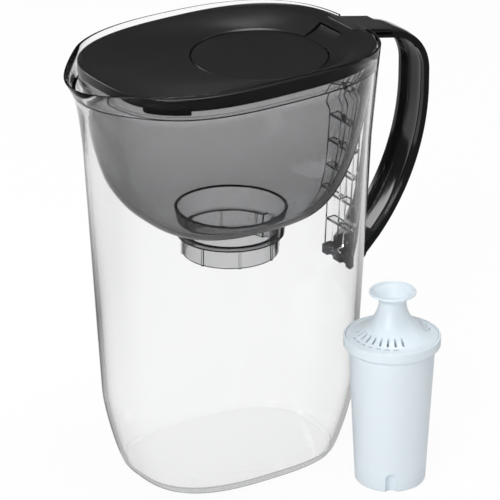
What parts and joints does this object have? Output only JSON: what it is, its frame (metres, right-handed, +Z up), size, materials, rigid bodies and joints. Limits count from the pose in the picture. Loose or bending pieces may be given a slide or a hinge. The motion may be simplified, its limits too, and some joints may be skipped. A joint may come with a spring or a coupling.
{
  "type": "water filter pitcher",
  "caption": "Clear oval pitcher with a flared spout and strap handle, a smoked drop-in reservoir, a dished lid with a thumb-lever refill flap, and a loose filter cartridge.",
  "frame": {"origin": "middle of the tank's flat foot, under the middle of the rim's oval", "axes": "+Z up, -X towards the spout, +X towards the handle, the loose cartridge stands on the -Y side"},
  "size_m": [0.2458, 0.1777, 0.265],
  "materials": {
    "clear_plastic": "clear polished moulding",
    "smoked_plastic": "smoke grey translucent moulding",
    "black_plastic": "near black, soft gloss",
    "cartridge_plastic": "pale blue-white, satin",
    "filter_granules": "packed granules",
    "screen_mesh": "fine woven mesh"
  },
  "bodies": {
    "pitcher": {"tank": "clear_plastic", "handle_bracket": "clear_plastic", "handle": "black_plastic"},
    "reservoir_body": {"reservoir": "smoked_plastic"},
    "lid_body": {"lid": "black_plastic"},
    "flap_body": {"refill_flap": "black_plastic"},
    "cartridge": {"cartridge_cup": "cartridge_plastic", "cartridge_cap": "cartridge_plastic", "filter_media": "filter_granules", "lower_screen": "screen_mesh", "upper_screen": "screen_mesh"}
  },
  "joints": [
    {"name": "reservoir_lift", "type": "slide", "parent": "pitcher", "child": "reservoir_body", "axis": [0, 0, 1], "range_m": [0, 0.14]},
    {"name": "lid_lift", "type": "slide", "parent": "reservoir_body", "child": "lid_body", "axis": [0, 0, 1], "range_m": [0, 0.08]},
    {"name": "flap_hinge", "type": "hinge", "parent": "lid_body", "child": "flap_body", "pos_m": [0.0662, 0, 0.2523], "axis": [0, 1, 0], "range_deg": [0, 75]},
    {"name": "cartridge_lift", "type": "slide", "parent": "pitcher", "child": "cartridge", "axis": [0, 0, 1], "range_m": [0, 0.06]}
  ]
}
